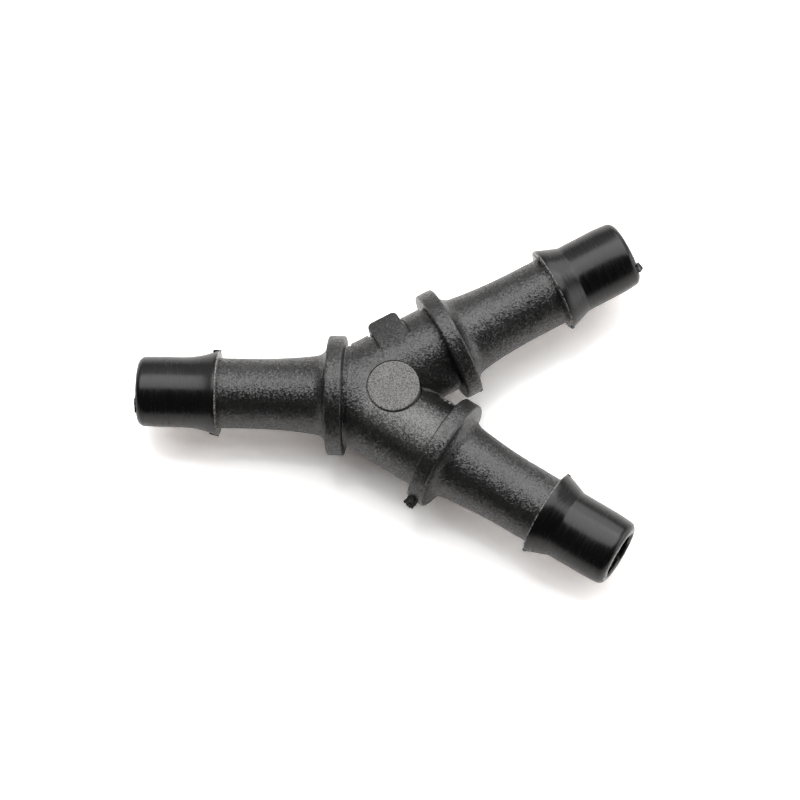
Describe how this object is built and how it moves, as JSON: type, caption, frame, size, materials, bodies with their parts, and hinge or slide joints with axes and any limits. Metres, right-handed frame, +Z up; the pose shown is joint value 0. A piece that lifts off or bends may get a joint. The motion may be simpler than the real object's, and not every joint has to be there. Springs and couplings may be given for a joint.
{
  "type": "tubing y connector",
  "caption": "Moulded plastic Y connector for soft tubing, with collared barbed legs at sixty degrees.",
  "frame": {"origin": "middle of the part's box, on the surface that its collars rest on", "axes": "+X along the middle line between the two outlet legs, away from the inlet leg; +Z up, square to the plane of the three legs, on the side of the round pad"},
  "size_m": [0.0233, 0.0174, 0.0056],
  "materials": {
    "moulded_polypropylene": "black, fine eroded grain on hub, collars and stems, smooth noses and barbs"
  },
  "bodies": {
    "root": {"y_connector": "moulded_polypropylene"}
  },
  "joints": []
}
